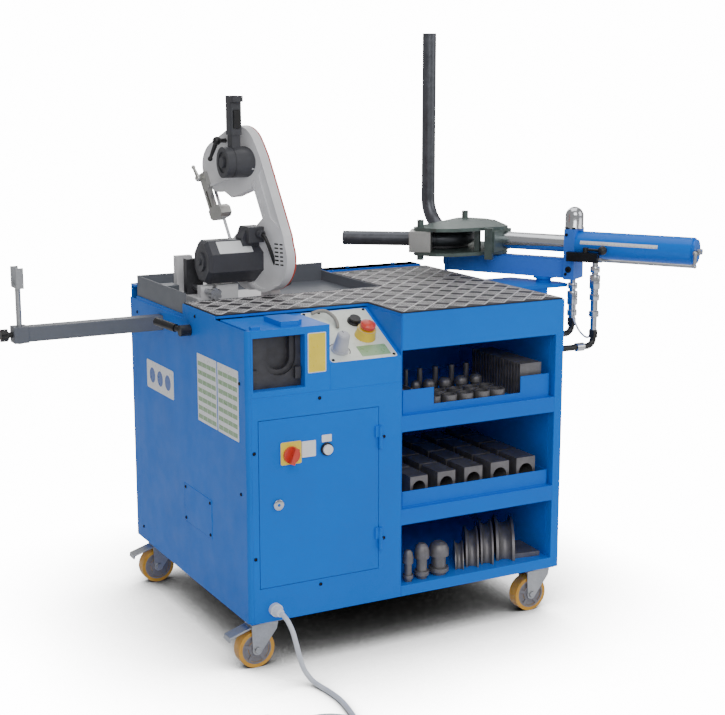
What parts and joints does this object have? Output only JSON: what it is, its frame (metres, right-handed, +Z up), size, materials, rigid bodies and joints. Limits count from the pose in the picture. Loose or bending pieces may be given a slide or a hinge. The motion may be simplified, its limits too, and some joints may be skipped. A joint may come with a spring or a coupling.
{
  "type": "tube bending workstation",
  "caption": "Castored sheet-metal cabinet with a swivelling hydraulic ram tube bender, a band saw with support arm, a forming head, a sloped console and tool shelves.",
  "frame": {"origin": "on the floor under the middle of the cabinet", "axes": "+X to the right seen from the front, +Y to the back, +Z up"},
  "size_m": [1.8048, 1.3737, 1.617],
  "materials": {
    "cabinet_blue": "satin powder coat",
    "inner_blue": "satin powder coat",
    "beam_blue": "satin paint",
    "ribbed_rubber": "raised tread",
    "black_steel": "blackened",
    "pump_grey": null,
    "die_steel": "phosphated",
    "console_pale": "satin",
    "black_plastic": "moulded",
    "red_plastic": "moulded",
    "white_plastic": "moulded",
    "zinc": "zinc plated",
    "amber_tyre": "polyurethane on grey hub",
    "grey_paint": "textured paint",
    "saw_cast": "painted casting",
    "saw_cover": "satin paint",
    "anthracite": "painted casting",
    "bright_steel": "machined",
    "chrome": "polished",
    "green_grey": "hammered paint",
    "bright_cast": "machined",
    "tube_dark": "mill scale",
    "tool_grey": "phosphated",
    "white_cable": "smooth"
  },
  "bodies": {
    "cabinet": {"cabinet_shell": "cabinet_blue", "left_panel": "cabinet_blue", "front_panel": "cabinet_blue", "shelf_unit": "inner_blue", "top_plate": "cabinet_blue", "rubber_mat": "ribbed_rubber", "panel_screws": "black_steel", "power_unit": "pump_grey", "head_block": "cabinet_blue", "head_die": "die_steel", "console": "console_pale", "castor_plates": "zinc", "saw_tray": "grey_paint", "saw_base": "saw_cast", "bender_post": "cabinet_blue", "hoses": "zinc", "tool_set": "tool_grey", "mains_gland": "white_plastic", "mains_cord": "white_cable", "cord_coil": "white_cable", "mains_plug": "black_plastic"},
    "door": {"door": "cabinet_blue"},
    "switch_knob": {"switch_knob": "red_plastic"},
    "reset_button": {"reset_button": "white_plastic"},
    "start_button": {"start_button": "black_plastic"},
    "estop_button": {"estop_button": "red_plastic"},
    "pressure_knob": {"pressure_knob": "white_plastic"},
    "fork_front_left": {"fork_front_left": "zinc"},
    "fork_front_right": {"fork_front_right": "zinc"},
    "fork_back_left": {"fork_back_left": "zinc"},
    "fork_back_right": {"fork_back_right": "zinc"},
    "wheel_front_left": {"wheel_front_left": "amber_tyre"},
    "wheel_front_right": {"wheel_front_right": "amber_tyre"},
    "wheel_back_left": {"wheel_back_left": "amber_tyre"},
    "wheel_back_right": {"wheel_back_right": "amber_tyre"},
    "pedal_front_left": {"pedal_front_left": "zinc"},
    "pedal_back_left": {"pedal_back_left": "zinc"},
    "support_arm": {"arm_tube": "grey_paint"},
    "arm_clamp": {"arm_clamp": "black_plastic"},
    "arm_fork": {"arm_fork": "grey_paint"},
    "fork_knob": {"fork_knob": "black_plastic"},
    "vise_jaw": {"vise_jaw": "grey_paint"},
    "vise_screw": {"vise_screw": "zinc"},
    "saw_bow": {"saw_bow": "saw_cast", "bow_cover": "saw_cover", "saw_motor": "anthracite", "saw_handle": "anthracite", "saw_blade": "bright_steel"},
    "saw_trigger": {"saw_trigger": "red_plastic"},
    "tension_lever": {"tension_lever": "black_plastic"},
    "guide_arm": {"guide_arm": "bright_steel"},
    "bender": {"swivel_beam": "beam_blue", "barrel": "beam_blue", "former": "tool_grey", "work_tube": "tube_dark"},
    "ram": {"ram_rod": "chrome", "carriage": "green_grey"},
    "die_front": {"die_front": "bright_cast"},
    "die_rear": {"die_rear": "bright_cast"},
    "stop_lever": {"stop_lever": "black_plastic"}
  },
  "joints": [
    {"name": "swivel_front_left", "type": "hinge", "parent": "cabinet", "child": "fork_front_left", "pos_m": [-0.413, -0.372, 0.121], "axis": [0, 0, 1], "continuous": true},
    {"name": "roll_front_left", "type": "hinge", "parent": "fork_front_left", "child": "wheel_front_left", "pos_m": [-0.444, -0.372, 0.05], "axis": [0, 1, 0], "continuous": true},
    {"name": "brake_front_left", "type": "hinge", "parent": "fork_front_left", "child": "pedal_front_left", "pos_m": [-0.449, -0.372, 0.108], "axis": [0, -1, 0], "range_deg": [0, 10]},
    {"name": "swivel_front_right", "type": "hinge", "parent": "cabinet", "child": "fork_front_right", "pos_m": [0.437, -0.372, 0.121], "axis": [0, 0, 1], "continuous": true},
    {"name": "roll_front_right", "type": "hinge", "parent": "fork_front_right", "child": "wheel_front_right", "pos_m": [0.406, -0.372, 0.05], "axis": [0, 1, 0], "continuous": true},
    {"name": "swivel_back_left", "type": "hinge", "parent": "cabinet", "child": "fork_back_left", "pos_m": [-0.413, 0.35, 0.121], "axis": [0, 0, 1], "continuous": true},
    {"name": "roll_back_left", "type": "hinge", "parent": "fork_back_left", "child": "wheel_back_left", "pos_m": [-0.444, 0.35, 0.05], "axis": [0, 1, 0], "continuous": true},
    {"name": "brake_back_left", "type": "hinge", "parent": "fork_back_left", "child": "pedal_back_left", "pos_m": [-0.449, 0.35, 0.108], "axis": [0, -1, 0], "range_deg": [0, 10]},
    {"name": "swivel_back_right", "type": "hinge", "parent": "cabinet", "child": "fork_back_right", "pos_m": [0.437, 0.35, 0.121], "axis": [0, 0, 1], "continuous": true},
    {"name": "roll_back_right", "type": "hinge", "parent": "fork_back_right", "child": "wheel_back_right", "pos_m": [0.406, 0.35, 0.05], "axis": [0, 1, 0], "continuous": true},
    {"name": "door_hinge", "type": "hinge", "parent": "cabinet", "child": "door", "pos_m": [-0.102, -0.425, 0.441], "axis": [0, 0, 1], "range_deg": [0, 110]},
    {"name": "main_switch", "type": "hinge", "parent": "door", "child": "switch_knob", "pos_m": [-0.357, -0.43, 0.564], "axis": [0, 1, 0], "range_deg": [0, 90]},
    {"name": "reset_press", "type": "slide", "parent": "door", "child": "reset_button", "axis": [0, 1, 0], "range_m": [0, 0.003], "stiffness_N_per_m": 800},
    {"name": "start_press", "type": "slide", "parent": "cabinet", "child": "start_button", "axis": [0, 0.4657, -0.8849], "range_m": [0, 0.003], "stiffness_N_per_m": 800},
    {"name": "estop_press", "type": "slide", "parent": "cabinet", "child": "estop_button", "axis": [0, 0.4657, -0.8849], "range_m": [0, 0.004]},
    {"name": "pressure_turn", "type": "hinge", "parent": "cabinet", "child": "pressure_knob", "pos_m": [-0.197, -0.38861, 0.82612], "axis": [0, -0.4657, 0.8849], "range_deg": [-135, 135]},
    {"name": "arm_slide", "type": "slide", "parent": "cabinet", "child": "support_arm", "axis": [-1, 0, 0], "range_m": [-0.18, 0.07]},
    {"name": "arm_clamp_turn", "type": "hinge", "parent": "cabinet", "child": "arm_clamp", "pos_m": [-0.49, -0.052, 0.833], "axis": [1, 0, 0], "range_deg": [-30, 40]},
    {"name": "fork_slide", "type": "slide", "parent": "support_arm", "child": "arm_fork", "axis": [0, 0, 1], "range_m": [-0.1, 0.015]},
    {"name": "fork_knob_turn", "type": "hinge", "parent": "support_arm", "child": "fork_knob", "pos_m": [-0.905, 0.17, 0.82], "axis": [1, 0, 0], "range_deg": [-180, 180]},
    {"name": "bow_hinge", "type": "hinge", "parent": "cabinet", "child": "saw_bow", "pos_m": [-0.2414, 0.04, 0.999], "axis": [-1, 0, 0], "range_deg": [0, 67]},
    {"name": "trigger_pull", "type": "slide", "parent": "saw_bow", "child": "saw_trigger", "axis": [0, 1, 0], "range_m": [0, 0.005], "stiffness_N_per_m": 900},
    {"name": "tension_turn", "type": "hinge", "parent": "saw_bow", "child": "tension_lever", "pos_m": [-0.30761, 0.11751, 1.319], "axis": [0.9511, 0.309, 0], "range_deg": [-35, 60]},
    {"name": "guide_slide", "type": "slide", "parent": "saw_bow", "child": "guide_arm", "axis": [-0.1267, 0.3898, 0.9121], "range_m": [-0.004, 0.03]},
    {"name": "vise_slide", "type": "slide", "parent": "cabinet", "child": "vise_jaw", "axis": [0, 1, 0], "range_m": [-0.01, 0.04]},
    {"name": "vise_turn", "type": "hinge", "parent": "vise_jaw", "child": "vise_screw", "pos_m": [-0.391, 0.05, 0.92], "axis": [0, 1, 0], "range_deg": [-370, 1450]},
    {"name": "bender_swivel", "type": "hinge", "parent": "cabinet", "child": "bender", "pos_m": [0.605, -0.134, 0.934], "axis": [0, 0, 1], "range_deg": [-30, 25], "deforming": ["hoses"]},
    {"name": "ram_stroke", "type": "slide", "parent": "bender", "child": "ram", "axis": [0.5446, -0.8387, 0], "range_m": [0, 0.12]},
    {"name": "die_turn_front", "type": "hinge", "parent": "ram", "child": "die_front", "pos_m": [0.29636, 0.05666, 1.014], "axis": [0, 0, 1], "range_deg": [-3, 3]},
    {"name": "die_turn_rear", "type": "hinge", "parent": "ram", "child": "die_rear", "pos_m": [0.55635, 0.2255, 1.014], "axis": [0, 0, 1], "range_deg": [-2, 3]},
    {"name": "stop_turn", "type": "hinge", "parent": "bender", "child": "stop_lever", "pos_m": [0.64061, -0.28615, 0.998], "axis": [0, 0, 1], "range_deg": [-40, 0]}
  ],
  "couplings": [
    {"joint": "vise_turn", "follows": "vise_slide", "rad_per_m": 628.32}
  ]
}
